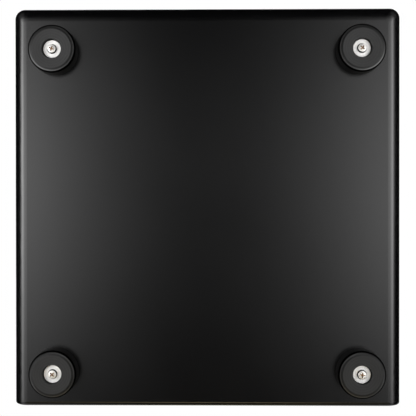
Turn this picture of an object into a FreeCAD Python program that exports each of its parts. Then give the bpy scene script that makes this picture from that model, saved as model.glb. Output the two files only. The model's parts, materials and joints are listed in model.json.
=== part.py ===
import FreeCAD, Part
import math
import os

# Bench counting scale, desk-top type, 15 kg class.
# Frame: +Z up, front (operator side) towards -Y, origin at the centre of the footprint on the
# surface that the feet stand on. Millimetres.

V = FreeCAD.Vector
os.makedirs("parts", exist_ok=True)

# ---------------------------------------------------------------- driving dimensions
WIDTH = 322.4            # overall width of the housing
LENGTH = 330.4           # overall depth of the housing
HX = WIDTH / 2
Y_FRONT = -LENGTH / 2
Y_REAR = LENGTH / 2
REAR_T = 2.0             # rear panel thickness
SEAM = 0.4               # visible joint between the base and the rear panel
Y_SHELL = Y_REAR - REAR_T - SEAM   # rear end of the base shell and of the cover

FOOT_H = 12.5            # rubber foot height
FOOT_R = 19.4            # foot radius at the ground face
FOOT_R_TOP = 19.7        # foot radius where it meets the base
FOOT_X = 125.9
FOOT_Y_FRONT = -128.1
FOOT_Y_REAR = 136.8
FOOT_RECESS_R = 7.9
WASHER_R = 7.4
WASHER_Z = 3.0           # ground-side face of the washer
WASHER_T = 1.5
SCREW_R = 2.0            # M4
SCREW_HEAD_R = 3.5
SCREW_HEAD_H = 2.4

STEEL_T = 1.5            # base shell sheet
R_ROLL = 12.0            # rolled edge between the base floor and its walls
R_CORNER = 8.5           # upright front corners
Z_BASE = FOOT_H          # underside of the base
Z_FLOOR = Z_BASE + STEEL_T
Z_SPLIT = 45.0           # top rim of the base shell
COVER_GAP = 0.4
COVER_T = 2.5
Z_DECK = 87.0
Z_CONSOLE = 51.0         # height of the console's lower front edge
SLOPE = 19.5             # console slope, degrees
SL = math.radians(SLOPE)
SLOPE_LEN = (Z_DECK - Z_CONSOLE) / math.sin(SL)
Y_SLOPE_TOP = Y_FRONT + (Z_DECK - Z_CONSOLE) / math.tan(SL)

PAN_CY = 52.0            # centre of the weighing pan, and of the load cell
PAN_W, PAN_D = 300.0, 222.0
PAN_T = 1.2
Z_PAN_UNDER = 102.0
PAN_SKIRT_Z = 91.0
PAN_LIFT = 30.0

CH_Z0, CH_ZB, CH_Z1 = Z_FLOOR, 20.5, 28.0       # chassis casting: foot of its bosses, underside and top of its bars
CELL_L, CELL_W = 150.0, 30.0
CELL_Z0, CELL_Z1 = 34.0, 64.0
SPIDER_Z0, SPIDER_Z1 = 90.0, 98.0
PAD_X, PAD_DY = 115.0, 82.0
STOP_X, STOP_DY = 84.0, 60.0
STOP_GAP = 0.8
DEFLECT = 0.5            # travel of the live platform at full load

KEY_TRAVEL = 1.2
ROW_V = [53.0, 35.5, 18.0]
NUM_U = [-110.5, -77.5, -44.5, -11.5]
FUN_U = [46.0, 100.0]
NUM_W, FUN_W, KEY_H = 29.5, 50.0, 13.0
KEY_TOP = 3.0

REC_X0, REC_X1 = 30.0, 136.0       # connector recess in the rear panel
REC_Z0, REC_Z1 = 36.0, 74.0
REC_Y = 150.5                      # outer face of the recess floor
JACK_X, PORT_X, SWITCH_X, CONN_Z = 48.0, 80.0, 117.0, 55.0
ROCK_DEG = 10.0


# ---------------------------------------------------------------- helpers
def box(x0, x1, y0, y1, z0, z1):
    return Part.makeBox(x1 - x0, y1 - y0, z1 - z0, V(x0, y0, z0))


def cyl(x, y, z0, z1, r):
    return Part.makeCylinder(r, z1 - z0, V(x, y, z0), V(0, 0, 1))


def cyl_y(x, z, y0, y1, r):
    return Part.makeCylinder(r, y1 - y0, V(x, y0, z), V(0, 1, 0))


def fuse(shapes):
    s = shapes[0]
    if len(shapes) > 1:
        s = s.fuse(shapes[1:])
    return s.removeSplitter()


def rounded(x0, x1, y0, y1, z0, z1, r, corners=None):
    """Upright box with rounded vertical edges. corners picks them by sign of x and y."""
    b = box(x0, x1, y0, y1, z0, z1)
    cx, cy = (x0 + x1) / 2, (y0 + y1) / 2
    picked = []
    for e in b.Edges:
        a, c = e.Vertexes[0].Point, e.Vertexes[1].Point
        if abs(a.x - c.x) < 1e-6 and abs(a.y - c.y) < 1e-6:
            sx, sy = (1 if a.x > cx else -1), (1 if a.y > cy else -1)
            if corners is None or (sx, sy) in corners:
                picked.append(e)
    return b.makeFillet(r, picked)


def to_console(s):
    """From console coordinates (u across, v up the slope, w out of it) to the row frame."""
    s = s.copy()
    s.rotate(V(0, 0, 0), V(1, 0, 0), SLOPE)
    s.translate(V(0, Y_FRONT, Z_CONSOLE))
    return s


def con(u, v, w):
    return V(u, Y_FRONT + v * math.cos(SL) - w * math.sin(SL), Z_CONSOLE + v * math.sin(SL) + w * math.cos(SL))


def revolve(points, x, y):
    """Closed (r, z) outline, with arcs as three-point tuples, turned about the upright axis at x, y."""
    edges = []
    for seg in points:
        ps = [V(r, 0, z) for r, z in seg]
        edges.append(Part.LineSegment(*ps).toShape() if len(ps) == 2 else Part.Arc(*ps).toShape())
    face = Part.Face(Part.Wire(edges))
    s = face.revolve(V(0, 0, 0), V(0, 0, 1), 360)
    s.translate(V(x, y, 0))
    return s


def phillips(x, y, z_face, deg, size=4.5, depth=1.7):
    """Cross-recess cutter, opening towards -Z at z_face."""
    w = 1.15
    top = 0.55
    def arm(flip):
        a = size / 2
        lo = Part.makePolygon([V(-a, -w / 2, z_face - 0.5), V(a, -w / 2, z_face - 0.5), V(a, w / 2, z_face - 0.5), V(-a, w / 2, z_face - 0.5), V(-a, -w / 2, z_face - 0.5)])
        b = a * top
        hi = Part.makePolygon([V(-b, -w / 2 * 0.8, z_face + depth), V(b, -w / 2 * 0.8, z_face + depth), V(b, w / 2 * 0.8, z_face + depth), V(-b, w / 2 * 0.8, z_face + depth), V(-b, -w / 2 * 0.8, z_face + depth)])
        s = Part.makeLoft([lo, hi], True, True)
        if flip:
            s.rotate(V(0, 0, 0), V(0, 0, 1), 90)
        return s
    s = arm(False).fuse(arm(True))
    s.rotate(V(0, 0, 0), V(0, 0, 1), deg)
    s.translate(V(x, y, 0))
    return s


def route(points, radius_share=0.45):
    """A wire of straight runs joined by tangent arcs, each as large as its two runs allow. Prints the arc radii."""
    pts = [V(*p) for p in points]
    edges, here, radii = [], pts[0], []
    for i in range(1, len(pts) - 1):
        a, b, c = pts[i - 1], pts[i], pts[i + 1]
        d1, d2 = (b - a), (c - b)
        l1, l2 = d1.Length, d2.Length
        d1.normalize(), d2.normalize()
        turn = d1.getAngle(d2)
        t = radius_share * min(l1, l2)
        r = t / math.tan(turn / 2)
        radii.append(round(r, 1))
        s, e = b - d1 * t, b + d2 * t
        n = (d2 - d1)
        n.normalize()
        centre = b + n * (r / math.cos(turn / 2))
        m = centre - n * r
        edges.append(Part.LineSegment(here, s).toShape())
        edges.append(Part.Arc(s, m, e).toShape())
        here = e
    edges.append(Part.LineSegment(here, pts[-1]).toShape())
    return Part.Wire(edges), radii


def tube(points, r):
    w, radii = route(points)
    d = V(*points[1]) - V(*points[0])
    prof = Part.Wire([Part.makeCircle(r, V(*points[0]), d)])
    s = w.makePipeShell([prof], True, False)
    if s.Volume < 0:
        s.reverse()
    print("tube radii", radii, "volume", round(s.Volume, 1), "section x length", round(math.pi * r * r * w.Length, 1))
    return s


count = 0


def out(name, shape):
    global count
    solids = shape.Solids
    assert solids, name
    ok = all(s.isValid() and s.Volume > 0 for s in solids)
    if not ok:
        print("BAD SOLID", name, [(s.isValid(), round(s.Volume, 2)) for s in solids])
    s = solids[0] if len(solids) == 1 else Part.Compound(solids)
    s.exportStep("parts/%s.step" % name)
    count += 1


# ---------------------------------------------------------------- base shell: drawn steel tray, open to the rear
def outline(hx, y0, y1, r, z):
    """Plan outline at height z: square at the rear end y1, corners of radius r at the front end y0."""
    c = r * (1 - math.sqrt(0.5))
    p = [V(-hx, y1, z), V(-hx, y0 + r, z), V(-hx + c, y0 + c, z), V(-hx + r, y0, z),
         V(hx - r, y0, z), V(hx - c, y0 + c, z), V(hx, y0 + r, z), V(hx, y1, z)]
    e = [Part.LineSegment(p[0], p[1]), Part.Arc(p[1], p[2], p[3]), Part.LineSegment(p[3], p[4]),
         Part.Arc(p[4], p[5], p[6]), Part.LineSegment(p[6], p[7]), Part.LineSegment(p[7], p[0])]
    return Part.Wire([x.toShape() for x in e])


def tray(hx, y0, y1, z0, z1, rc, rr, r_in=2.0, n=9):
    """Tray body with a rolled lower edge of radius rr on three sides. The plan corners shrink from rc to r_in along the roll."""
    wires = []
    for k in range(n + 1):
        a = math.pi / 2 * k / n
        o = rr * (1 - math.sin(a))
        wires.append(outline(hx - o, y0 + o, y1, rc + (r_in - rc) * (o / rr), z0 + rr * (1 - math.cos(a))))
    lower = Part.makeLoft(wires, True, False)
    upper = Part.Face(outline(hx, y0, y1, rc, z0 + rr)).extrude(V(0, 0, z1 - z0 - rr))
    return lower.fuse(upper)


outer = tray(HX, Y_FRONT, Y_SHELL, Z_BASE, Z_SPLIT, R_CORNER, R_ROLL)
inner = tray(HX - STEEL_T, Y_FRONT + STEEL_T, Y_SHELL + 1, Z_FLOOR, Z_SPLIT + 20, R_CORNER - STEEL_T, R_ROLL - STEEL_T, 1.2)
base = outer.cut(inner)
flange = box(-150, 150, Y_SHELL - STEEL_T, Y_SHELL, Z_FLOOR - 0.2, 33.0)
base = base.fuse(flange).removeSplitter()
FEET = {
    "foot_front_left": (-FOOT_X, FOOT_Y_FRONT), "foot_front_right": (FOOT_X, FOOT_Y_FRONT),
    "foot_rear_left": (-FOOT_X, FOOT_Y_REAR), "foot_rear_right": (FOOT_X, FOOT_Y_REAR),
}
for fx, fy in FEET.values():
    base = base.cut(cyl(fx, fy, Z_BASE - 1, Z_FLOOR + 1, SCREW_R + 0.25))
for sx in (-140, 140):
    base = base.cut(cyl_y(sx, 27, Y_SHELL - 5, Y_SHELL + 1, 1.55))
# the rear end of the floor is bent up slightly along the joint with the rear panel
JOINT_W, JOINT_DROP = 0.6, 0.22
wedge = Part.Face(Part.makePolygon([V(-200, Y_SHELL - JOINT_W, Z_BASE), V(-200, Y_SHELL + JOINT_W, Z_BASE + 2 * JOINT_DROP),
                                    V(-200, Y_SHELL + JOINT_W, Z_BASE - 1), V(-200, Y_SHELL - JOINT_W, Z_BASE - 1),
                                    V(-200, Y_SHELL - JOINT_W, Z_BASE)])).extrude(V(400, 0, 0))
base = base.cut(wedge)
out("base_shell", base)

# ---------------------------------------------------------------- feet, washers, screws
for name, (fx, fy) in FEET.items():
    foot = revolve([
        [(2.3, FOOT_H), (FOOT_R_TOP, FOOT_H)],
        [(FOOT_R_TOP, FOOT_H), (FOOT_R, 1.9)],
        [(FOOT_R, 1.9), (FOOT_R - 0.42, 0.86), (FOOT_R - 1.4, 0.4)],
        [(FOOT_R - 1.4, 0.4), (FOOT_R - 3.4, 0)],
        [(FOOT_R - 3.4, 0), (FOOT_RECESS_R + 0.25, 0)],
        [(FOOT_RECESS_R + 0.25, 0), (FOOT_RECESS_R, 0.25)],
        [(FOOT_RECESS_R, 0.25), (FOOT_RECESS_R, WASHER_Z + WASHER_T)],
        [(FOOT_RECESS_R, WASHER_Z + WASHER_T), (2.3, WASHER_Z + WASHER_T)],
        [(2.3, WASHER_Z + WASHER_T), (2.3, FOOT_H)],
    ], fx, fy)
    out(name, foot)

washers, screws = [], []
TURNS = [22, 40, 45, 10]
for (fx, fy), deg in zip(FEET.values(), TURNS):
    z0, z1 = WASHER_Z, WASHER_Z + WASHER_T
    washers.append(revolve([
        [(2.25, z0), (WASHER_R - 0.35, z0)],
        [(WASHER_R - 0.35, z0), (WASHER_R, z0 + 0.35)],
        [(WASHER_R, z0 + 0.35), (WASHER_R, z1)],
        [(WASHER_R, z1), (2.25, z1)],
        [(2.25, z1), (2.25, z0)],
    ], fx, fy))
    hz = WASHER_Z
    r, h = SCREW_HEAD_R, SCREW_HEAD_H
    s = revolve([
        [(0, hz - h), (r * 0.5, hz - h * 0.98), (r * 0.89, hz - h * 0.83)],
        [(r * 0.89, hz - h * 0.83), (r * 0.97, hz - h * 0.7), (r, hz - h * 0.48)],
        [(r, hz - h * 0.48), (r, hz)],
        [(r, hz), (SCREW_R, hz)],
        [(SCREW_R, hz), (SCREW_R, 33.2)],
        [(SCREW_R, 33.2), (SCREW_R - 0.6, 33.9)],
        [(SCREW_R - 0.6, 33.9), (0, 33.9)],
        [(0, 33.9), (0, hz - h)],
    ], fx, fy)
    s = s.cut(phillips(fx, fy, hz - h, deg))
    screws.append(s)
out("foot_washers", Part.Compound(washers))
out("foot_screws", Part.Compound(screws))

# ---------------------------------------------------------------- chassis: cast frame clamped by the four foot screws
parts = [
    box(-137.4, -111.4, -141, 149, CH_ZB, CH_Z1),
    box(111.4, 137.4, -141, 149, CH_ZB, CH_Z1),
    box(-124.4, 124.4, -139.8, -113.8, CH_ZB, CH_Z1),
    box(-124.4, 124.4, -72, 18, CH_Z1 - 3, CH_Z1),
    box(-124.4, 124.4, 22, 82, CH_ZB, CH_Z1),
    box(-124.4, 124.4, 110, 149, CH_Z1 - 3, CH_Z1),
    box(-12, 12, -125, 120, CH_ZB, CH_Z1),
]
DECK_POSTS = [(-124.4, -48), (124.4, -48), (-124.4, 100), (124.4, 100)]
STOPS = [(sx * STOP_X, PAN_CY + sy * STOP_DY) for sx in (-1, 1) for sy in (-1, 1)]
for fx, fy in FEET.values():
    parts.append(cyl(fx, fy, CH_Z0, 34, 8))
for x, y in DECK_POSTS:
    parts.append(Part.makeCone(8, 6, 20, V(x, y, CH_Z1 - 1), V(0, 0, 1)))
    parts.append(cyl(x, y, CH_ZB, Z_DECK - COVER_T, 6))
for x, y in STOPS:
    parts.append(cyl(x, y, CH_ZB, 70, 7))
chassis = fuse(parts)
for fx, fy in FEET.values():
    chassis = chassis.cut(cyl(fx, fy, CH_Z0 - 1, 35, SCREW_R + 0.05))
for x, y in DECK_POSTS:
    chassis = chassis.cut(cyl(x, y, 70, Z_DECK, 1.55))
for x, y in STOPS:
    chassis = chassis.cut(cyl(x, y, 45, 71, 2.55))
LOWER = [(-66, PAN_CY), (-50, PAN_CY)]
UPPER = [(50, PAN_CY), (66, PAN_CY)]
for x, y in LOWER:
    chassis = chassis.cut(cyl(x, y, CH_Z0 - 1, CH_Z1 + 1, 3.2)).cut(cyl(x, y, CH_Z0 - 1, 26, 5.4))
STANDOFFS = [(-62, 79), (62, 79), (-62, 117), (62, 117)]
out("chassis", chassis)

# ---------------------------------------------------------------- load cell and what clamps it
cell = box(-CELL_L / 2, CELL_L / 2, PAN_CY - CELL_W / 2, PAN_CY + CELL_W / 2, CELL_Z0, CELL_Z1)
zc = (CELL_Z0 + CELL_Z1) / 2
eye = [cyl_y(-15, zc, PAN_CY - 40, PAN_CY + 40, 11.5), cyl_y(15, zc, PAN_CY - 40, PAN_CY + 40, 11.5),
       box(-15, 15, PAN_CY - 40, PAN_CY + 40, zc - 5, zc + 5)]
cell = cell.cut(fuse(eye))
for x, y in LOWER:
    cell = cell.cut(cyl(x, y, CELL_Z0 - 1, 50, 3.05))
for x, y in UPPER:
    cell = cell.cut(cyl(x, y, 46, CELL_Z1 + 1, 3.05))
cell = cell.makeChamfer(0.8, [e for e in cell.Edges if abs(abs(e.BoundBox.XMin) - 75) < 1e-3 and abs(e.BoundBox.XLength) < 1e-6])
out("load_cell", cell)

mount = box(-75, -41, PAN_CY - 15, PAN_CY + 15, CH_Z1, CELL_Z0)
for x, y in LOWER:
    mount = mount.cut(cyl(x, y, CH_Z1 - 1, CELL_Z0 + 1, 3.2))
out("load_cell_mount", mount)


def socket_bolt(x, y, z_head, up, length, head_h=5.0, r=3.0, rh=5.0):
    """Hex-socket bolt. up is the way its shank points, z_head the outer face of its head."""
    d = 1 if up else -1
    def zz(a, b):
        lo, hi = sorted((z_head + d * a, z_head + d * b))
        return lo, hi
    lo, hi = zz(0, head_h)
    s = cyl(x, y, lo, hi, rh)
    lo, hi = zz(head_h - 0.5, head_h + length)
    s = s.fuse(cyl(x, y, lo, hi, r))
    lo, hi = zz(-1, 2.8)
    hexa = Part.Face(Part.makePolygon([V(x + 2.9 * math.cos(math.radians(k * 60)), y + 2.9 * math.sin(math.radians(k * 60)), lo) for k in range(7)]))
    return s.cut(hexa.extrude(V(0, 0, hi - lo)))


out("load_cell_lower_bolts", Part.Compound([socket_bolt(x, y, 20.8, True, 23, head_h=5.2) for x, y in LOWER]))
riser = box(42, 75, PAN_CY - 15, PAN_CY + 15, CELL_Z1, SPIDER_Z0)
for x, y in UPPER:
    riser = riser.cut(cyl(x, y, CELL_Z1 - 1, SPIDER_Z0 + 1, 3.2))
out("load_cell_riser", riser)
out("load_cell_upper_bolts", Part.Compound([socket_bolt(x, y, 97.6, False, 43, head_h=5.2) for x, y in UPPER]))

# ---------------------------------------------------------------- spider: cast cross that carries the pan
arm_len = math.hypot(PAD_X, PAD_DY)
arm_deg = math.degrees(math.atan2(PAD_DY, PAD_X))
pieces = [rounded(-36, 86, PAN_CY - 24, PAN_CY + 24, SPIDER_Z0, SPIDER_Z1, 10)]
for k, (sx, sy) in enumerate([(1, 1), (-1, 1), (-1, -1), (1, -1)]):
    a = Part.makePolygon([V(0, -14, SPIDER_Z0), V(arm_len, -8.5, SPIDER_Z0), V(arm_len, 8.5, SPIDER_Z0), V(0, 14, SPIDER_Z0), V(0, -14, SPIDER_Z0)])
    s = Part.Face(a).extrude(V(0, 0, SPIDER_Z1 - SPIDER_Z0))
    deg = math.degrees(math.atan2(sy * PAD_DY, sx * PAD_X))
    s.rotate(V(0, 0, 0), V(0, 0, 1), deg)
    s.translate(V(0, PAN_CY, 0))
    pieces.append(s)
    pieces.append(cyl(sx * PAD_X, PAN_CY + sy * PAD_DY, SPIDER_Z0, SPIDER_Z1, 11))
spider = fuse(pieces)
for sx in (-1, 1):
    for sy in (-1, 1):
        spider = spider.cut(cyl(sx * PAD_X, PAN_CY + sy * PAD_DY, SPIDER_Z0 - 1, SPIDER_Z1 + 1, 3.5))
for x, y in UPPER:
    spider = spider.cut(cyl(x, y, SPIDER_Z0 - 1, SPIDER_Z1 + 1, 3.2)).cut(cyl(x, y, 92.4, SPIDER_Z1 + 1, 5.4))
out("platform_spider", spider)

buffers = []
for sx in (-1, 1):
    for sy in (-1, 1):
        x, y = sx * PAD_X, PAN_CY + sy * PAD_DY
        b = cyl(x, y, SPIDER_Z1, Z_PAN_UNDER - 0.05, 8)
        b = b.makeFillet(0.8, [e for e in b.Edges if e.BoundBox.ZMin > Z_PAN_UNDER - 0.2])
        buffers.append(b.cut(cyl(x, y, SPIDER_Z1 - 1, Z_PAN_UNDER + 1, 3.1)))
out("pan_buffers", Part.Compound(buffers))

# ---------------------------------------------------------------- weighing pan: pressed stainless tray, lifts off
py0, py1 = PAN_CY - PAN_D / 2, PAN_CY + PAN_D / 2
z_top = Z_PAN_UNDER + PAN_T
po = rounded(-PAN_W / 2, PAN_W / 2, py0, py1, PAN_SKIRT_Z, z_top, 14)
po = po.makeFillet(3.6, [e for e in po.Edges if e.BoundBox.ZMin > z_top - 1e-6])
pi = rounded(-PAN_W / 2 + PAN_T, PAN_W / 2 - PAN_T, py0 + PAN_T, py1 - PAN_T, PAN_SKIRT_Z - 5, Z_PAN_UNDER, 14 - PAN_T)
pi = pi.makeFillet(3.6 - PAN_T, [e for e in pi.Edges if e.BoundBox.ZMin > Z_PAN_UNDER - 1e-6])
pan = po.cut(pi)
for sx in (-1, 1):
    for sy in (-1, 1):
        x, y = sx * PAD_X, PAN_CY + sy * PAD_DY
        pan = pan.fuse(Part.makeCone(1.8, 2.8, 1.2, V(x, y, 95), V(0, 0, 1)).fuse(cyl(x, y, 96.2, Z_PAN_UNDER + 0.3, 2.8)))
pan = pan.removeSplitter()
out("weighing_pan", pan)

# ---------------------------------------------------------------- overload stops
stops, nuts = [], []
for x, y in STOPS:
    top = SPIDER_Z0 - STOP_GAP
    s = cyl(x, y, 58, top, 2.5)
    s = s.makeFillet(0.8, [e for e in s.Edges if e.BoundBox.ZMin > top - 1e-6])
    s = s.cut(box(x - 3, x + 3, y - 0.4, y + 0.4, top - 1.2, top + 1))
    stops.append(s)
    hexa = Part.Face(Part.makePolygon([V(x + 4.6 * math.cos(math.radians(k * 60)), y + 4.6 * math.sin(math.radians(k * 60)), 70) for k in range(7)]))
    nuts.append(hexa.extrude(V(0, 0, 4)).cut(cyl(x, y, 69, 75, 2.55)))
out("overload_stops", Part.Compound(stops))
out("stop_locknuts", Part.Compound(nuts))

# ---------------------------------------------------------------- upper cover: moulded housing with sloped console
z0 = Z_SPLIT + COVER_GAP
prof = [V(0, Y_FRONT, z0), V(0, Y_FRONT, Z_CONSOLE), V(0, Y_SLOPE_TOP, Z_DECK), V(0, Y_SHELL, Z_DECK), V(0, Y_SHELL, z0), V(0, Y_FRONT, z0)]
body = Part.Face(Part.makePolygon(prof)).extrude(V(WIDTH, 0, 0))
body.translate(V(-HX, 0, 0))
up = [e for e in body.Edges if e.BoundBox.XLength < 1e-6 and e.BoundBox.YLength < 1e-6 and e.BoundBox.YMax < Y_FRONT + 1e-6]
body = body.makeFillet(R_CORNER, up)
tops = []
for e in body.Edges:
    b = e.BoundBox
    if b.ZMin < Z_CONSOLE - 1e-3 or b.YMin > Y_SHELL - 1e-6:
        continue
    tops.append(e)
body = body.makeFillet(4.0, tops)
# inside of the cover, one wall thickness in
ci, si = math.cos(SL), math.sin(SL)
zi0 = Z_CONSOLE - COVER_T / ci + COVER_T * math.tan(SL)   # inner slope plane at the inner front wall
yi_top = Y_FRONT + (Z_DECK - COVER_T - (Z_CONSOLE - COVER_T / ci)) / math.tan(SL)
profi = [V(0, Y_FRONT + COVER_T, z0 - 10), V(0, Y_FRONT + COVER_T, zi0), V(0, yi_top, Z_DECK - COVER_T), V(0, Y_SHELL + 10, Z_DECK - COVER_T), V(0, Y_SHELL + 10, z0 - 10), V(0, Y_FRONT + COVER_T, z0 - 10)]
hollow = Part.Face(Part.makePolygon(profi)).extrude(V(WIDTH - 2 * COVER_T, 0, 0))
hollow.translate(V(-HX + COVER_T, 0, 0))
up = [e for e in hollow.Edges if e.BoundBox.XLength < 1e-6 and e.BoundBox.YLength < 1e-6 and e.BoundBox.YMax < Y_FRONT + COVER_T + 1e-6]
hollow = hollow.makeFillet(R_CORNER - COVER_T, up)
cover = body.cut(hollow)
# lip that locates inside the base rim
lip = rounded(-HX + 1.8, HX - 1.8, Y_FRONT + 1.8, Y_SHELL, 41, z0 + 3, R_CORNER - 1.8, corners=[(-1, -1), (1, -1)])
lip = lip.cut(rounded(-HX + 3.5, HX - 3.5, Y_FRONT + 3.5, Y_SHELL + 10, 40, z0 + 5, R_CORNER - 3.5, corners=[(-1, -1), (1, -1)]))
cover = cover.fuse(lip)
# rear bosses for the panel's upper screws
for sx in (-1, 1):
    x0, x1 = sorted((sx * 141, sx * (HX - 1)))
    b = box(x0, x1, Y_SHELL - 10, Y_SHELL, 68, Z_DECK - 1)
    cover = cover.fuse(b)
# bosses under the slope for the console board
CON_SCREWS = [(sx * 150.0, v) for sx in (-1, 1) for v in (15.0, 54.0, 94.0)]
for u, v in CON_SCREWS:
    cover = cover.fuse(to_console(Part.makeCylinder(3.4, 7.0, V(u, v, -9.0), V(0, 0, 1))))
cover = cover.removeSplitter()
cover = cover.cut(to_console(rounded(-149, 149, 4.5, 103.5, -1.5, 10, 5)))
cover = cover.cut(to_console(rounded(-144.5, 144.5, 9, 99, -6, 5, 3)))
for u, v in CON_SCREWS:
    cover = cover.cut(to_console(Part.makeCylinder(1.3, 6.5, V(u, v, -9.5), V(0, 0, 1))))
# deck: opening for the riser with a spill rim, holes for stops and cover screws
rim = rounded(33, 84, PAN_CY - 24, PAN_CY + 24, Z_DECK - 1, Z_DECK + 1.8, 6)
cover = cover.fuse(rim).removeSplitter()
cover = cover.cut(rounded(36, 81, PAN_CY - 21, PAN_CY + 21, Z_DECK - 5, Z_DECK + 5, 4))
for x, y in STOPS:
    cover = cover.cut(cyl(x, y, Z_DECK - 5, Z_DECK + 5, 4.5))
for x, y in DECK_POSTS:
    cover = cover.cut(cyl(x, y, Z_DECK - 5, Z_DECK + 5, 1.75))
for sx in (-1, 1):
    cover = cover.cut(cyl_y(sx * 149, 77, Y_SHELL - 12, Y_SHELL + 1, 1.55))
out("upper_cover", cover)

covers = []
for x, y in DECK_POSTS:
    head = cyl(x, y, Z_DECK, Z_DECK + 2.2, 3.0)
    head = head.makeFillet(1.0, [e for e in head.Edges if e.BoundBox.ZMin > Z_DECK + 2.1])
    s = head.fuse(cyl(x, y, 74, Z_DECK + 0.5, 1.5)).removeSplitter()
    s = s.cut(box(x - 1.8, x + 1.8, y - 0.4, y + 0.4, Z_DECK + 1.0, Z_DECK + 3))
    covers.append(s.cut(box(x - 0.4, x + 0.4, y - 1.8, y + 1.8, Z_DECK + 1.0, Z_DECK + 3)))
out("cover_screws", Part.Compound(covers))

# ---------------------------------------------------------------- rear panel with connector recess
YP = Y_REAR - REAR_T
pl = box(-HX, HX, YP, Y_REAR, Z_BASE, Z_DECK)
lowc = [e for e in pl.Edges if e.BoundBox.XLength < 1e-6 and e.BoundBox.ZLength < 1e-6 and e.BoundBox.ZMax < Z_BASE + 1e-6]
pl = pl.makeFillet(R_ROLL, lowc)
upc = [e for e in pl.Edges if e.BoundBox.XLength < 1e-6 and e.BoundBox.ZLength < 1e-6 and e.BoundBox.ZMin > Z_DECK - 1e-6]
pl = pl.makeFillet(4.0, upc)
pl = pl.makeFillet(1.5, [e for e in pl.Edges if e.BoundBox.YMin > Y_REAR - 1e-6])
WALL = 2.5
rec = box(REC_X0 - WALL, REC_X1 + WALL, REC_Y - WALL, YP + 0.5, REC_Z0 - WALL, REC_Z1 + WALL)
panel = pl.fuse(rec).removeSplitter()
pocket = box(REC_X0, REC_X1, REC_Y, Y_REAR + 5, REC_Z0, REC_Z1)
pocket = pocket.makeFillet(3.0, [e for e in pocket.Edges if e.BoundBox.YLength > 5])
panel = panel.cut(pocket)
panel = panel.cut(box(JACK_X - 5.2, JACK_X + 5.2, REC_Y - 4, REC_Y + 1, CONN_Z - 6.2, CONN_Z + 6.2))
panel = panel.cut(box(PORT_X - 9.2, PORT_X + 9.2, REC_Y - 4, REC_Y + 1, CONN_Z - 4.9, CONN_Z + 4.9))
for dx in (-12.5, 12.5):
    panel = panel.cut(cyl_y(PORT_X + dx, CONN_Z, REC_Y - 4, REC_Y + 1, 1.7))
panel = panel.cut(box(SWITCH_X - 6.4, SWITCH_X + 6.4, REC_Y - 4, REC_Y + 1, CONN_Z - 11.1, CONN_Z + 11.1))
REAR_SCREWS = [(-140, 27), (140, 27), (-149, 77), (149, 77)]
for x, z in REAR_SCREWS:
    panel = panel.cut(cyl_y(x, z, YP - 1, Y_REAR + 1, 1.7))
    panel = panel.cut(Part.makeCone(1.7, 3.1, 1.45, V(x, Y_REAR - 1.45, z), V(0, 1, 0)))
out("rear_panel", panel)

scr = []
for x, z in REAR_SCREWS:
    s = cyl_y(x, z, Y_REAR - 13, Y_REAR - 1.3, 1.5).fuse(Part.makeCone(1.5, 2.9, 1.4, V(x, Y_REAR - 1.45, z), V(0, 1, 0)))
    s = s.cut(box(x - 1.8, x + 1.8, Y_REAR - 1.0, Y_REAR + 1, z - 0.35, z + 0.35)).cut(box(x - 0.35, x + 0.35, Y_REAR - 1.0, Y_REAR + 1, z - 1.8, z + 1.8))
    scr.append(s.removeSplitter())
out("rear_panel_screws", Part.Compound(scr))

# ---------------------------------------------------------------- connectors and power switch
jack = fuse([
    box(JACK_X - 5.0, JACK_X + 5.0, REC_Y - 14, REC_Y, CONN_Z - 6.0, CONN_Z + 6.0),
    box(JACK_X - 7.0, JACK_X + 7.0, REC_Y, REC_Y + 1.5, CONN_Z - 7.5, CONN_Z + 7.5),
    cyl_y(JACK_X, CONN_Z, REC_Y + 1.0, REC_Y + 4.0, 4.6),
])
jack = jack.cut(cyl_y(JACK_X, CONN_Z, REC_Y - 7, REC_Y + 6, 3.1))
jack = jack.fuse(cyl_y(JACK_X, CONN_Z, REC_Y - 8, REC_Y + 2.5, 1.05)).removeSplitter()
out("power_inlet", jack)


def dee(x, z, w, h, y0, y1, r=1.6):
    p = [V(x - w / 2, y0, z + h / 2), V(x + w / 2, y0, z + h / 2), V(x + w / 2 - 1.6, y0, z - h / 2), V(x - w / 2 + 1.6, y0, z - h / 2), V(x - w / 2, y0, z + h / 2)]
    s = Part.Face(Part.makePolygon(p)).extrude(V(0, y1 - y0, 0))
    return s.makeFillet(r, [e for e in s.Edges if e.BoundBox.YLength > (y1 - y0) * 0.9])


port = fuse([
    box(PORT_X - 15.4, PORT_X + 15.4, REC_Y, REC_Y + 0.8, CONN_Z - 6.2, CONN_Z + 6.2),
    dee(PORT_X, CONN_Z, 17.8, 9.2, REC_Y - 8, REC_Y + 0.5),
    dee(PORT_X, CONN_Z, 17.0, 8.4, REC_Y, REC_Y + 6.0),
])
port = port.cut(dee(PORT_X, CONN_Z, 16.0, 7.4, REC_Y + 1.0, REC_Y + 8, 1.2))
for k in range(5):
    port = port.fuse(cyl_y(PORT_X - 5.54 + 2.77 * k, CONN_Z + 1.42, REC_Y, REC_Y + 5.4, 0.5))
for k in range(4):
    port = port.fuse(cyl_y(PORT_X - 4.16 + 2.77 * k, CONN_Z - 1.42, REC_Y, REC_Y + 5.4, 0.5))
for dx in (-12.5, 12.5):
    port = port.cut(cyl_y(PORT_X + dx, CONN_Z, REC_Y - 1, REC_Y + 2, 1.6))
port = port.removeSplitter()
out("serial_port", port)

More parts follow.
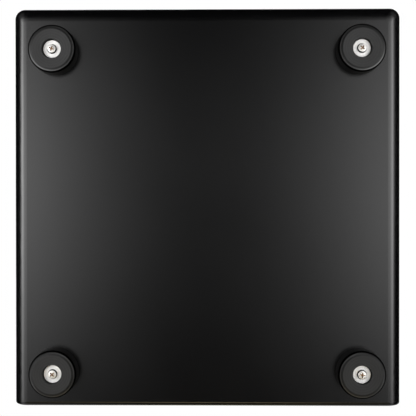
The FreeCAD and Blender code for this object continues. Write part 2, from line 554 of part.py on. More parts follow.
js = []
for dx in (-12.5, 12.5):
    x = PORT_X + dx
    hexa = Part.Face(Part.makePolygon([V(x + 2.7 * math.cos(math.radians(k * 60)), REC_Y + 0.8, CONN_Z + 2.7 * math.sin(math.radians(k * 60))) for k in range(7)]))
    s = hexa.extrude(V(0, 4.6, 0)).fuse(cyl_y(x, CONN_Z, REC_Y - 6, REC_Y + 1, 1.5))
    js.append(s.cut(cyl_y(x, CONN_Z, REC_Y + 2, REC_Y + 8, 1.25)))
out("serial_jackscrews", Part.Compound(js))

sw = fuse([
    box(SWITCH_X - 6.2, SWITCH_X + 6.2, REC_Y - 19, REC_Y + 0.2, CONN_Z - 10.9, CONN_Z + 10.9),
    rounded(SWITCH_X - 7.6, SWITCH_X + 7.6, REC_Y, REC_Y + 1.6, CONN_Z - 12.4, CONN_Z + 12.4, 0.5),
])
sw = sw.cut(box(SWITCH_X - 5.3, SWITCH_X + 5.3, REC_Y - 11, REC_Y + 5, CONN_Z - 10.1, CONN_Z + 10.1))
pin_y = REC_Y - 4.0
pin = Part.makeCylinder(1.0, 12.0, V(SWITCH_X - 6.0, pin_y, CONN_Z), V(1, 0, 0))
sw = sw.cut(Part.makeCylinder(1.03, 12.0, V(SWITCH_X - 6.0, pin_y, CONN_Z), V(1, 0, 0)))
for dz in (-6, 0, 6):
    sw = sw.fuse(box(SWITCH_X - 3.1, SWITCH_X + 3.1, REC_Y - 27, REC_Y - 18.5, CONN_Z + dz - 0.4, CONN_Z + dz + 0.4))
sw = sw.removeSplitter()
out("power_switch_body", sw)

x0, x1 = SWITCH_X - 4.95, SWITCH_X + 4.95
rp = [(6.0, 0.0), (7.6, 8.7), (1.0, 8.9), (-3.0, 4.5), (-3.0, -4.5), (1.0, -8.9), (7.6, -8.7)]
poly = Part.makePolygon([V(x0, pin_y + a, CONN_Z + b) for a, b in rp + rp[:1]])
rocker = Part.Face(poly).extrude(V(x1 - x0, 0, 0))
rocker = rocker.makeFillet(0.6, [e for e in rocker.Edges if e.BoundBox.YMin > pin_y + 5 and e.BoundBox.XLength < 1e-6])
rocker = rocker.fuse(pin).removeSplitter()
rocker.rotate(V(SWITCH_X, pin_y, CONN_Z), V(1, 0, 0), ROCK_DEG)
out("power_rocker", rocker)

# ---------------------------------------------------------------- console: panel, window, keys, membrane, board
KEYS = []
NUM_NAMES = [["key_7", "key_8", "key_9", "key_clear"], ["key_4", "key_5", "key_6", "key_point"], ["key_1", "key_2", "key_3", "key_0"]]
FUN_NAMES = [["key_zero", "key_tare"], ["key_unit_weight", "key_sample"], ["key_add", "key_print"]]
for r, v in enumerate(ROW_V):
    for c, u in enumerate(NUM_U):
        KEYS.append((NUM_NAMES[r][c], u, v, NUM_W))
    for c, u in enumerate(FUN_U):
        KEYS.append((FUN_NAMES[r][c], u, v, FUN_W))

cpanel = rounded(-148.7, 148.7, 4.8, 103.2, -1.5, 0.0, 4.7)
cpanel = cpanel.makeChamfer(0.35, [e for e in cpanel.Edges if e.BoundBox.ZMin > -1e-6])
for name, u, v, w in KEYS:
    cpanel = cpanel.cut(rounded(u - w / 2 - 0.35, u + w / 2 + 0.35, v - KEY_H / 2 - 0.35, v + KEY_H / 2 + 0.35, -3, 2, 1.85))
cpanel = cpanel.cut(rounded(-139, 139, 67, 96, -3, 2, 2.5))
out("console_panel", to_console(cpanel))

win = rounded(-142.5, 142.5, 64.5, 98.5, -3.0, -1.5, 2).fuse(rounded(-138.8, 138.8, 67.2, 95.8, -1.6, -0.1, 2.3)).removeSplitter()
out("display_window", to_console(win))

for name, u, v, w in KEYS:
    cap = rounded(u - w / 2, u + w / 2, v - KEY_H / 2, v + KEY_H / 2, -1.9, KEY_TOP, 1.5)
    dish = Part.makeCylinder(34.0, w + 20, V(u - w / 2 - 10, v, KEY_TOP + 34.0 - 0.5), V(1, 0, 0))
    cap = cap.makeFillet(0.9, [e for e in cap.Edges if e.BoundBox.ZMin > KEY_TOP - 1e-6])
    cap = cap.cut(dish)
    fl = box(u - w / 2 - 1.1, u + w / 2 + 1.1, v - KEY_H / 2 - 1.1, v + KEY_H / 2 + 1.1, -2.9, -1.8)
    key = fuse([cap, fl, Part.makeCylinder(3.0, 2.2, V(u, v, -5.0), V(0, 0, 1))])
    out(name, to_console(key))

mem = [box(-133, 133, 9.5, 61.5, -9.0, -8.0)]
for name, u, v, w in KEYS:
    mem.append(Part.makeCone(5.2, 3.6, 2.95, V(u, v, -8.05), V(0, 0, 1)))
out("keypad_membrane", to_console(fuse(mem)))

board = box(-154, 154, 8, 100, -10.6, -9.0)
for u, v in CON_SCREWS:
    board = board.cut(Part.makeCylinder(1.6, 4, V(u, v, -12), V(0, 0, 1)))
out("console_board", to_console(board))
cs = []
for u, v in CON_SCREWS:
    s = Part.makeCylinder(1.25, 7.0, V(u, v, -10.7), V(0, 0, 1)).fuse(Part.makeCylinder(2.6, 1.9, V(u, v, -12.5), V(0, 0, 1)))
    cs.append(to_console(s.removeSplitter()))
out("console_screws", Part.Compound(cs))

LCDS = [-93.0, 0.0, 93.0]
lcd = []
for u in LCDS:
    s = box(u - 43, u + 43, 66.5, 96.5, -9.0, -4.6).fuse(box(u - 41, u + 41, 68.5, 94.5, -4.7, -3.8)).removeSplitter()
    lcd.append(to_console(s))
out("lcd_modules", Part.Compound(lcd))

# ---------------------------------------------------------------- electronics and battery
bat = box(-50, 50, -62, 8, CH_Z1, 74.6)
bat = bat.makeFillet(1.5, [e for e in bat.Edges if e.BoundBox.ZLength > 40])
bat = bat.fuse(box(49, 54, -40, -35, 56, 56.8)).fuse(box(49, 54, -19, -14, 56, 56.8)).removeSplitter()
out("battery", bat)
st = box(-10, 10, -63.6, 9.6, CH_Z1, 76.3).cut(box(-11, 11, -62.2, 8.2, CH_Z1 - 1, 74.9))
st = st.fuse(box(-10, 10, -71.5, -62.3, CH_Z1, CH_Z1 + 1.4)).fuse(box(-10, 10, 8.3, 17.5, CH_Z1, CH_Z1 + 1.4)).removeSplitter()
st = st.cut(cyl(0, -67.5, CH_Z1 - 1, CH_Z1 + 3, 1.7)).cut(cyl(0, 13.5, CH_Z1 - 1, CH_Z1 + 3, 1.7))
out("battery_strap", st)

pcb = box(-68, 68, 76, 121, 34, 35.6)
for x, y in STANDOFFS:
    pcb = pcb.cut(cyl(x, y, 33, 37, 1.6))
out("main_board", pcb)
so = []
for x, y in STANDOFFS:
    so.append(cyl(x, y, CH_Z1, 34, 3.0).fuse(cyl(x, y, 33.9, 36.5, 1.5)).fuse(cyl(x, y, 35.6, 37.4, 2.7)).removeSplitter())
out("board_standoffs", Part.Compound(so))
zb = 35.6
comp = [
    box(-12, 4, 90, 106, zb, zb + 2.2), box(14, 34, 84, 100, zb, zb + 5), box(40, 52, 100, 112, zb, zb + 2.5),
    box(-50, -30, 84, 102, zb, zb + 9), cyl(-20, 112, zb, zb + 12, 5), cyl(-34, 112, zb, zb + 12, 5), cyl(-48, 112, zb, zb + 9, 4),
    box(59, 67.5, 90, 100, zb, zb + 6.5), box(-67.5, -59, 90, 100, zb, zb + 6.5), box(-5, 5, 77, 83, zb, zb + 6.5),
]
out("board_components", Part.Compound(comp))

out("load_cell_cable", tube([(0, PAN_CY + CELL_W / 2 + 0.05, 57.5), (0, 71.5, 57.5), (0, 78, 54.5), (0, 80, 48), (0, 80, 42.2)], 1.0))
out("battery_leads", Part.Compound([
    tube([(54.1, -37.5, 56.4), (66, -37.5, 56.4), (84, -36, 54), (101, -22, 46), (104, 10, 41), (104, 45, 40), (103, 76, 39.5), (92, 93, 39), (78, 96.5, 39), (67.6, 96.5, 39)], 1.2),
    tube([(54.1, -16.5, 56.4), (64, -20, 56.0), (80, -30, 52), (96, -18, 44), (99.5, 10, 37), (99.5, 45, 36), (98, 72, 36.5), (88, 90, 38.6), (77, 93.2, 39), (67.6, 93.2, 39)], 1.2),
]))
out("console_harness", tube([(-70, -78.0, 58.9), (-76, -70, 56.5), (-92, -58, 51), (-103, -36, 45), (-104, 0, 41), (-104, 40, 40), (-103, 74, 39.5), (-92, 91, 39), (-80, 95, 39), (-67.6, 95, 39)], 2.0))

print("nodes written:", count)
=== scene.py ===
import json
import math
import random

import bmesh
import bpy
from mathutils import Matrix, Vector

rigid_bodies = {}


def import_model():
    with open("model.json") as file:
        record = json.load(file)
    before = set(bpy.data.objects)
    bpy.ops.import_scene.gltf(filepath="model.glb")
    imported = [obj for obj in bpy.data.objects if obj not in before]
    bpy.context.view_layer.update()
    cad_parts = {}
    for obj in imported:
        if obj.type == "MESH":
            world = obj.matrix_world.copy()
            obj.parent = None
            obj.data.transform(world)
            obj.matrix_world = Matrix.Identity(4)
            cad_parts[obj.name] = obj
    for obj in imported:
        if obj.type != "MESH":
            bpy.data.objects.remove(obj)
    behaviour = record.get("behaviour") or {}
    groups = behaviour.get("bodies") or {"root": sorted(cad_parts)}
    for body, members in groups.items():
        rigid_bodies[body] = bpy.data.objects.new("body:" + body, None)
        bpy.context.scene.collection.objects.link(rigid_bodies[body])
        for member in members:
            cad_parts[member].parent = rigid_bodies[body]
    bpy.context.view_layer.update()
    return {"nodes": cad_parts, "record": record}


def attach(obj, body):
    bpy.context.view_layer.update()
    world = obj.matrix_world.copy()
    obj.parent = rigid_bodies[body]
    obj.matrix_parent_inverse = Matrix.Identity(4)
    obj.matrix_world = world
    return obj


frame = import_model()
NODES = frame["nodes"]
scene = bpy.context.scene
MM = 0.001

# ---------------------------------------------------------------- dimensions shared with the CAD model
Y_FRONT = -0.1652
SLOPE = math.radians(19.5)
Z_CONSOLE = 0.051
FEET = [(-0.1259, -0.1281), (0.1259, -0.1281), (-0.1259, 0.1368), (0.1259, 0.1368)]
PAN_CY = 0.052


def con(u, v, w):
    """Console coordinates in millimetres to the frame, in metres."""
    return Vector((u * MM,
                   Y_FRONT + (v * math.cos(SLOPE) - w * math.sin(SLOPE)) * MM,
                   Z_CONSOLE + (v * math.sin(SLOPE) + w * math.cos(SLOPE)) * MM))


CON = Matrix(((1, 0, 0, 0),
              (0, math.cos(SLOPE), -math.sin(SLOPE), Y_FRONT),
              (0, math.sin(SLOPE), math.cos(SLOPE), Z_CONSOLE),
              (0, 0, 0, 1)))


# ---------------------------------------------------------------- material helpers
class Mat:
    def __init__(self, name, color, rough, metallic=0.0, specular=0.5, coat=0.0, coat_rough=0.1, ior=1.5):
        self.m = bpy.data.materials.new(name)
        self.m.use_nodes = True
        self.t = self.m.node_tree
        self.n = self.t.nodes
        self.p = self.n["Principled BSDF"]
        self.p.inputs["Base Color"].default_value = (*color, 1)
        self.p.inputs["Roughness"].default_value = rough
        self.p.inputs["Metallic"].default_value = metallic
        self.p.inputs["Specular IOR Level"].default_value = specular
        self.p.inputs["IOR"].default_value = ior
        if coat:
            self.p.inputs["Coat Weight"].default_value = coat
            self.p.inputs["Coat Roughness"].default_value = coat_rough
        self.height = []
        self.m.diffuse_color = (*color, 1)
        tc = self.n.new("ShaderNodeTexCoord")
        self.obj = tc.outputs["Object"]

    def new(self, kind, **values):
        node = self.n.new(kind)
        for k, v in values.items():
            setattr(node, k, v)
        return node

    def link(self, a, b):
        self.t.links.new(a, b)

    def mapping(self, scale=(1, 1, 1), loc=(0, 0, 0), rot=(0, 0, 0)):
        m = self.new("ShaderNodeMapping")
        m.inputs["Scale"].default_value = scale
        m.inputs["Location"].default_value = loc
        m.inputs["Rotation"].default_value = rot
        self.link(self.obj, m.inputs["Vector"])
        return m.outputs["Vector"]

    def noise(self, scale, detail=3.0, rough=0.5, vec=None, distortion=0.0):
        t = self.new("ShaderNodeTexNoise")
        t.inputs["Scale"].default_value = scale
        t.inputs["Detail"].default_value = detail
        t.inputs["Roughness"].default_value = rough
        t.inputs["Distortion"].default_value = distortion
        self.link(vec if vec is not None else self.obj, t.inputs["Vector"])
        return t.outputs["Fac"]

    def ramp(self, fac, stops):
        r = self.new("ShaderNodeValToRGB")
        e = r.color_ramp.elements
        while len(e) < len(stops):
            e.new(0.5)
        for el, (pos, col) in zip(e, stops):
            el.position = pos
            c = col if hasattr(col, "__len__") else (col, col, col)
            el.color = (*c, 1)
        self.link(fac, r.inputs["Fac"])
        return r.outputs["Color"]

    def math(self, op, a, b=None, c=None, clamp=False):
        m = self.new("ShaderNodeMath", operation=op, use_clamp=clamp)
        for i, x in enumerate((a, b, c)):
            if x is None:
                continue
            if isinstance(x, (int, float)):
                m.inputs[i].default_value = x
            else:
                self.link(x, m.inputs[i])
        return m.outputs[0]

    def range(self, fac, lo, hi, a=0.0, b=1.0):
        m = self.new("ShaderNodeMapRange")
        m.inputs["From Min"].default_value = a
        m.inputs["From Max"].default_value = b
        m.inputs["To Min"].default_value = lo
        m.inputs["To Max"].default_value = hi
        self.link(fac, m.inputs["Value"])
        return m.outputs["Result"]

    def roughness(self, fac, lo, hi, a=0.3, b=0.7):
        self.link(self.range(fac, lo, hi, a, b), self.p.inputs["Roughness"])

    def color(self, fac, stops):
        self.link(self.ramp(fac, stops), self.p.inputs["Base Color"])

    def bump(self, fac, distance, strength=1.0):
        b = self.new("ShaderNodeBump")
        b.inputs["Distance"].default_value = distance
        b.inputs["Strength"].default_value = strength
        self.link(fac, b.inputs["Height"])
        if self.height:
            self.link(self.height[-1], b.inputs["Normal"])
        self.height.append(b.outputs["Normal"])
        self.link(b.outputs["Normal"], self.p.inputs["Normal"])
        return self

    def done(self):
        return self.m


def shade(c, k):
    return tuple(min(1.0, x * k) for x in c)


def wear(m, strength=1.0):
    """Edge mask from Geometry pointiness, 0 on flats and 1 on sharp edges."""
    g = m.new("ShaderNodeNewGeometry")
    return m.range(g.outputs["Pointiness"], 0.0, strength, 0.52, 0.62)


# ---------------------------------------------------------------- materials
def powder_coat(name, color, rough, seed=0.0):
    m = Mat(name, color, rough, specular=0.5)
    v = m.mapping(loc=(seed, seed * 0.7, seed * 0.3))
    peel = m.noise(420, 3, 0.55, v)
    grain = m.noise(2600, 2, 0.5, v)
    cloud = m.noise(9, 4, 0.6, v)
    m.roughness(cloud, rough - 0.025, rough + 0.03)
    # painted light and shade: one paint in two tones by height, the upright walls above 22.5 mm 24 times lighter than
    # the near-black underside, a lit copy and a shaded copy of the same paint
    tone = m.ramp(cloud, [(0.3, shade(color, 0.9)), (0.7, shade(color, 1.12))])
    sep = m.new("ShaderNodeSeparateXYZ")
    m.link(m.obj, sep.inputs["Vector"])
    scaled = m.new("ShaderNodeVectorMath", operation="SCALE")
    m.link(tone, scaled.inputs[0])
    m.link(m.range(sep.outputs["Z"], 1.0, 24.0, 0.0225, 0.0275), scaled.inputs["Scale"])
    m.link(scaled.outputs[0], m.p.inputs["Base Color"])
    m.bump(peel, 0.00001, 0.3)
    m.bump(grain, 0.000004, 0.3)
    return m.done()


def moulded(name, color, rough, grain_scale=1500, depth=0.00004, strength=0.5, variation=0.08, specular=0.5):
    m = Mat(name, color, rough, specular=specular)
    v = m.mapping()
    g = m.noise(grain_scale, 2, 0.5, v)
    cloud = m.noise(14, 3, 0.6, v)
    m.roughness(cloud, rough - 0.04, rough + 0.04)
    m.color(cloud, [(0.3, shade(color, 1 - variation)), (0.7, shade(color, 1 + variation))])
    m.bump(g, depth, strength)
    return m.done()


def brushed(name, color, rough, axis="X", spread=0.06, scratch=0.00001, anis=0.5):
    m = Mat(name, color, rough, metallic=1.0)
    stretch = {"X": (3, 900, 900), "Y": (900, 3, 900)}[axis]
    v = m.mapping(scale=stretch)
    lines = m.noise(1.0, 5, 0.65, v)
    v2 = m.mapping(scale=tuple(s * 0.35 for s in stretch))
    wide = m.noise(1.0, 4, 0.6, v2)
    cloud = m.noise(6, 3, 0.6)
    mix = m.math("ADD", m.math("MULTIPLY", lines, 0.6), m.math("MULTIPLY", wide, 0.4))
    m.roughness(mix, rough - spread, rough + spread)
    tint = m.math("ADD", m.math("MULTIPLY", mix, 0.7), m.math("MULTIPLY", cloud, 0.3))
    m.color(tint, [(0.3, shade(color, 0.88)), (0.7, shade(color, 1.08))])
    m.bump(mix, scratch, 0.35)
    m.p.inputs["Anisotropic"].default_value = anis
    return m.done()


def metal(name, color, rough, grain=900, depth=0.00001, specks=0.12, cloud_scale=60):
    m = Mat(name, color, rough, metallic=1.0)
    g = m.noise(grain, 3, 0.6)
    cloud = m.noise(cloud_scale, 4, 0.6)
    m.roughness(cloud, rough - 0.06, rough + 0.08)
    m.color(cloud, [(0.3, shade(color, 1 - specks)), (0.7, shade(color, 1 + specks * 0.5))])
    m.bump(g, depth, 0.4)
    return m.done()


PAINT = (0.0008, 0.0008, 0.0009)
M = {}
M["base_black"] = powder_coat("base_paint", PAINT, 0.235)
M["rear_black"] = powder_coat("rear_paint", PAINT, 0.19, 3.1)
M["cover_black"] = moulded("cover_abs", (0.022, 0.022, 0.024), 0.50, 1700, 0.00005, 0.55)

# rubber: fine turned rings on the ground face, a little bloom, a painted highlight ring on the shoulder and painted
# shade round the outer edge
def rubber_foot(name, cx, cy):
    m = Mat(name, (0.004, 0.004, 0.004), 0.5, specular=0.5)
    v = m.mapping(loc=(-cx, -cy, 0))
    sep = m.new("ShaderNodeSeparateXYZ")
    m.link(v, sep.inputs["Vector"])
    r = m.math("SQRT", m.math("ADD", m.math("MULTIPLY", sep.outputs["X"], sep.outputs["X"]),
                              m.math("MULTIPLY", sep.outputs["Y"], sep.outputs["Y"])))
    rings = m.math("SINE", m.math("MULTIPLY", r, 2 * math.pi / 0.0021))
    cloud = m.noise(45, 4, 0.65, v)
    fine = m.noise(1800, 3, 0.6, v)
    dust = m.noise(160, 5, 0.7, v)
    # face 2 degrees dished, a duller band where the face turns into the shoulder, a thin painted highlight ring
    # stronger towards the base centre and the rear, painted shade on the outer side of the shoulder, then the rounded
    # outer edge painted near black and the walls darker, as painted shade
    dish = m.new("ShaderNodeBump")
    dish.inputs["Distance"].default_value = 1.0
    dish.inputs["Strength"].default_value = 1.0
    flat = m.math("MULTIPLY", m.math("MINIMUM", r, 0.0160), 0.035)
    m.link(flat, dish.inputs["Height"])
    m.height.append(dish.outputs["Normal"])

    def ring(radius, width):
        k = m.math("DIVIDE", m.math("SUBTRACT", r, radius), width)
        return m.math("EXPONENT", m.math("MULTIPLY", m.math("MULTIPLY", k, k), -0.5))

    dull = m.math("SUBTRACT", 1.0, m.math("MULTIPLY", ring(0.0166, 0.0005), 0.5))
    inward = m.math("MULTIPLY", m.math("DIVIDE", sep.outputs["X"], r), -1.0 if cx > 0 else 1.0)
    rearward = m.math("DIVIDE", sep.outputs["Y"], r)
    toward = m.math("MAXIMUM", inward, rearward)
    side = m.range(toward, 0.0, 0.9, 0.15, 0.85)
    # painted shade: less gloss in a ring on the outer side of the shoulder, away from the base centre and the rear
    painted_shade_outer = m.range(toward, 0.8, 0.0, -0.35, 0.45)
    # painted highlight: a thin brighter, glossier ring on the shoulder, strongest on the sides facing the base centre
    # and the rear
    painted_highlight_ring = m.math("MULTIPLY", ring(0.01790, 0.00028), side)
    # painted shade: beyond 18.15 mm the rounded outer edge is made near black with no gloss, and the walls above 2.2 mm
    # stay darker than the face
    wall = m.range(sep.outputs["Z"], 0.0, 1.0, 0.0022, 0.0032)
    painted_dark_edge_mask = m.range(r, 1.0, 0.0, 0.01815, 0.01845)
    turned = m.math("ADD", 1.0, m.math("MULTIPLY", rings, 0.07))
    painted_shade_factor = m.math("SUBTRACT", 1.0, m.math("MULTIPLY", painted_shade_outer, ring(0.0181, 0.0008)))
    gloss = m.math("MULTIPLY", m.math("MULTIPLY", m.math("MULTIPLY", dull, turned), painted_shade_factor), 0.5)
    shoulder = m.math("MULTIPLY", m.math("ADD", gloss, m.math("MULTIPLY", painted_highlight_ring, 0.5)), painted_dark_edge_mask)
    m.link(m.math("ADD", shoulder, m.math("MULTIPLY", m.math("MULTIPLY", wall, m.math("SUBTRACT", 1.0, painted_dark_edge_mask)), 0.3)), m.p.inputs["Specular IOR Level"])
    m.link(m.math("SUBTRACT", m.range(cloud, 0.43, 0.50, 0.3, 0.7), m.math("MULTIPLY", painted_highlight_ring, 0.14)), m.p.inputs["Roughness"])
    bloom = m.math("ADD", m.math("MULTIPLY", cloud, 0.6), m.math("MULTIPLY", dust, 0.4))
    face = m.ramp(bloom, [(0.32, (0.002, 0.002, 0.002)), (0.52, (0.003, 0.003, 0.003)), (0.72, (0.006, 0.0059, 0.0057))])
    scaled = m.new("ShaderNodeVectorMath", operation="SCALE")
    m.link(face, scaled.inputs[0])
    m.link(m.math("MULTIPLY", m.math("ADD", 1.0, m.math("MULTIPLY", painted_highlight_ring, 2.5)), m.math("ADD", m.math("ADD", 0.06, m.math("MULTIPLY", wall, 0.3)), m.math("MULTIPLY", painted_dark_edge_mask, 0.64))), scaled.inputs["Scale"])
    m.link(scaled.outputs[0], m.p.inputs["Base Color"])
    m.bump(rings, 0.000012, 0.5)
    m.bump(fine, 0.00003, 0.45)
    return m.done()


def washer_metal(name):
    """Bright zinc. Concentric turning marks round each of the four screw axes, and a painted shadow ring next to each
    screw head.
    """
    m = Mat(name, (0.80, 0.79, 0.77), 0.38, metallic=1.0)
    sep = m.new("ShaderNodeSeparateXYZ")
    m.link(m.obj, sep.inputs["Vector"])
    ax = m.math("SUBTRACT", m.math("ABSOLUTE", sep.outputs["X"]), 0.1259)
    y = m.math("SUBTRACT", m.math("ABSOLUTE", m.math("SUBTRACT", sep.outputs["Y"], 0.00435)), 0.13245)
    r = m.math("SQRT", m.math("ADD", m.math("MULTIPLY", ax, ax), m.math("MULTIPLY", y, y)))
    jitter = m.noise(700, 2, 0.5)
    rings = m.math("SINE", m.math("ADD", m.math("MULTIPLY", r, 2 * math.pi / 0.00055), m.math("MULTIPLY", jitter, 3.0)))
    cloud = m.noise(240, 4, 0.65)
    m.roughness(cloud, 0.58, 0.66)
    bright = m.ramp(cloud, [(0.3, (0.78, 0.77, 0.755)), (0.7, (0.90, 0.89, 0.875))])
    # painted shadow: the zinc is made dark inside 3.8 mm of the screw axis, blending back to full brightness at 4.1 mm
    scaled = m.new("ShaderNodeVectorMath", operation="SCALE")
    m.link(bright, scaled.inputs[0])
    m.link(m.range(r, 0.06, 1.0, 0.0038, 0.0041), scaled.inputs["Scale"])
    m.link(scaled.outputs[0], m.p.inputs["Base Color"])
    m.bump(rings, 0.000006, 0.35)
    return m.done()


def screw_metal(name):
    """Bright zinc with a painted shadow ring at the edge of the head, and painted shade with a warm painted reflection
    in the bottom of the cross recess.
    """
    m = Mat(name, (0.78, 0.76, 0.73), 0.30, metallic=1.0)
    sep = m.new("ShaderNodeSeparateXYZ")
    m.link(m.obj, sep.inputs["Vector"])
    deep = m.range(sep.outputs["Z"], 0.0, 1.0, 0.00070, 0.0009)
    ax = m.math("SUBTRACT", m.math("ABSOLUTE", sep.outputs["X"]), 0.1259)
    y = m.math("SUBTRACT", m.math("ABSOLUTE", m.math("SUBTRACT", sep.outputs["Y"], 0.00435)), 0.13245)
    r = m.math("SQRT", m.math("ADD", m.math("MULTIPLY", ax, ax), m.math("MULTIPLY", y, y)))
    inner = m.range(r, 1.0, 0.0, 0.0022, 0.0026)
    rec = m.math("MULTIPLY", deep, inner, clamp=True)
    cloud = m.noise(500, 4, 0.65)
    base = m.ramp(cloud, [(0.3, (0.72, 0.71, 0.69)), (0.7, (0.84, 0.83, 0.81))])
    # painted shadow: the head's edge beyond 3.35 mm from the axis is made dark
    wall = m.new("ShaderNodeVectorMath", operation="SCALE")
    m.link(base, wall.inputs[0])
    m.link(m.range(r, 1.0, 0.07, 0.00335, 0.00345), wall.inputs["Scale"])
    # painted shade with a warm painted reflection: the bottom of the cross recess is mixed to a dark brown
    mix = m.new("ShaderNodeMix", data_type="RGBA")
    m.link(rec, mix.inputs["Factor"])
    m.link(wall.outputs[0], mix.inputs[6])
    mix.inputs[7].default_value = (0.46, 0.31, 0.19, 1)
    m.link(mix.outputs[2], m.p.inputs["Base Color"])
    m.roughness(cloud, 0.56, 0.64)
    m.bump(m.noise(1500, 2, 0.5), 0.00001, 0.4)
    return m.done()


for name, (fx, fy) in zip(("foot_front_left", "foot_front_right", "foot_rear_left", "foot_rear_right"), FEET):
    M[name] = rubber_foot(name + "_rubber", fx, fy)
M["foot_rubber"] = moulded("buffer_rubber", (0.02, 0.02, 0.02), 0.65, 1500, 0.00003, 0.4)
M["foot_washers"] = washer_metal("washer_zinc")
M["foot_screws"] = screw_metal("screw_zinc")
M["zinc"] = metal("zinc", (0.74, 0.73, 0.71), 0.34)
M["black_steel"] = metal("black_steel", (0.10, 0.10, 0.105), 0.42)
M["cast_alu"] = metal("cast_alu", (0.62, 0.63, 0.64), 0.55, 500, 0.00008, 0.12)
M["cell_alu"] = brushed("cell_alu", (0.76, 0.77, 0.79), 0.36, "X", anis=0.3)
M["stainless"] = brushed("pan_stainless", (0.62, 0.61, 0.60), 0.30, "X", 0.07, 0.000008, 0.6)
M["console_grey"] = moulded("console_film", (0.050, 0.062, 0.078), 0.42, 2400, 0.00002, 0.35, 0.05)
M["key_light"] = moulded("key_light", (0.60, 0.61, 0.60), 0.45, 2200, 0.00002, 0.35, 0.03)
M["key_blue"] = moulded("key_blue", (0.055, 0.16, 0.34), 0.45, 2200, 0.00002, 0.35, 0.05)
M["key_orange"] = moulded("key_orange", (0.62, 0.17, 0.035), 0.45, 2200, 0.00002, 0.35, 0.05)
M["silicone"] = moulded("silicone", (0.50, 0.52, 0.53), 0.5, 900, 0.00002, 0.3)
M["component_black"] = moulded("component", (0.02, 0.02, 0.021), 0.45, 1600, 0.00003, 0.4)
M["battery_grey"] = moulded("battery_abs", (0.09, 0.095, 0.10), 0.5, 1200, 0.00004, 0.4)
M["connector_black"] = moulded("connector_nylon", (0.014, 0.014, 0.014), 0.36, 1900, 0.00002, 0.3)
M["rocker_black"] = moulded("rocker_nylon", (0.017, 0.017, 0.017), 0.28, 1900, 0.00001, 0.3)
M["port_steel"] = metal("port_nickel", (0.66, 0.65, 0.62), 0.30, 1200)
M["cable_black"] = moulded("cable_pvc", (0.02, 0.02, 0.02), 0.45, 1400, 0.00002, 0.3)


def pcb_material():
    m = Mat("pcb", (0.012, 0.10, 0.035), 0.35, specular=0.5)
    v = m.mapping(scale=(1, 1, 1))
    t = m.new("ShaderNodeTexVoronoi", distance="CHEBYCHEV", feature="DISTANCE_TO_EDGE")
    t.inputs["Scale"].default_value = 260
    m.link(v, t.inputs["Vector"])
    tracks = m.ramp(t.outputs["Distance"], [(0.04, (0.03, 0.20, 0.07)), (0.09, (0.010, 0.085, 0.03))])
    m.link(tracks, m.p.inputs["Base Color"])
    m.bump(m.noise(900, 2), 0.00002, 0.3)
    return m.done()


M["pcb_green"] = pcb_material()


def window_material():
    m = Mat("window_acrylic", (0.86, 0.90, 0.91), 0.06, ior=1.49)
    m.p.inputs["Transmission Weight"].default_value = 1.0
    m.roughness(m.noise(12, 3, 0.6), 0.03, 0.09)
    m.bump(m.noise(5, 2), 0.00004, 0.2)
    m.m.use_backface_culling = False
    return m.done()


def lcd_material():
    """Reflective liquid-crystal glass: grey-green, faintly mottled."""
    m = Mat("lcd_glass", (0.27, 0.32, 0.25), 0.25, specular=0.5)
    cloud = m.noise(30, 3, 0.6)
    m.color(cloud, [(0.3, (0.255, 0.305, 0.235)), (0.7, (0.285, 0.335, 0.262))])
    fine = m.noise(3500, 1, 0.5)
    m.roughness(fine, 0.22, 0.32)
    m.bump(fine, 0.00001, 0.15)
    return m.done()


M["window_clear"] = window_material()
M["lcd"] = lcd_material()


def print_ink(name, color, rough=0.5):
    m = Mat(name, color, rough)
    n = m.noise(1500, 2, 0.5)
    m.color(n, [(0.3, shade(color, 0.94)), (0.7, shade(color, 1.04))])
    m.roughness(n, rough - 0.05, rough + 0.05)
    return m.done()


INK_DARK = print_ink("ink_dark", (0.012, 0.013, 0.016))
INK_WHITE = print_ink("ink_white", (0.72, 0.73, 0.72))
SEGMENT_ON = print_ink("lcd_segment_on", (0.010, 0.013, 0.011), 0.35)
SEGMENT_OFF = print_ink("lcd_segment_off", (0.222, 0.266, 0.208), 0.3)
BEZEL = moulded("display_bezel_print", (0.012, 0.0125, 0.014), 0.35, 2400, 0.00001, 0.2, 0.03)

slot_of = {s["node"]: s["material_slot"] for s in frame["record"]["subparts"]}
for name, obj in NODES.items():
    mat = M.get(name) or M[slot_of[name]]
    obj.data.materials.clear()
    obj.data.materials.append(mat)


# ---------------------------------------------------------------- mesh helpers
def mesh_object(name, bm, mat, matrix=None, smooth=False, body="housing"):
    me = bpy.data.meshes.new(name)
    bmesh.ops.recalc_face_normals(bm, faces=bm.faces)
    bm.to_mesh(me)
    bm.free()
    if smooth:
        me.polygons.foreach_set("use_smooth", [True] * len(me.polygons))
    o = bpy.data.objects.new(name, me)
    me.materials.append(mat)
    if matrix is not None:
        me.transform(matrix)
    scene.collection.objects.link(o)
    if smooth:
        me.set_sharp_from_angle(angle=math.radians(35))
    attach(o, body)
    return o


def slab(bm, pts, z0, z1):
    """A closed prism on the outline pts, from z0 to z1, in millimetres."""
    lo = [bm.verts.new((x * MM, y * MM, z0 * MM)) for x, y in pts]
    hi = [bm.verts.new((x * MM, y * MM, z1 * MM)) for x, y in pts]
    bm.faces.new(list(reversed(lo)))
    bm.faces.new(hi)
    n = len(pts)
    for i in range(n):
        bm.faces.new((lo[i], lo[(i + 1) % n], hi[(i + 1) % n], hi[i]))


def round_rect(x0, x1, y0, y1, r, n=6):
    pts = []
    for cx, cy, a0 in ((x1 - r, y1 - r, 0), (x0 + r, y1 - r, 90), (x0 + r, y0 + r, 180), (x1 - r, y0 + r, 270)):
        for k in range(n + 1):
            a = math.radians(a0 + 90 * k / n)
            pts.append((cx + r * math.cos(a), cy + r * math.sin(a)))
    return pts


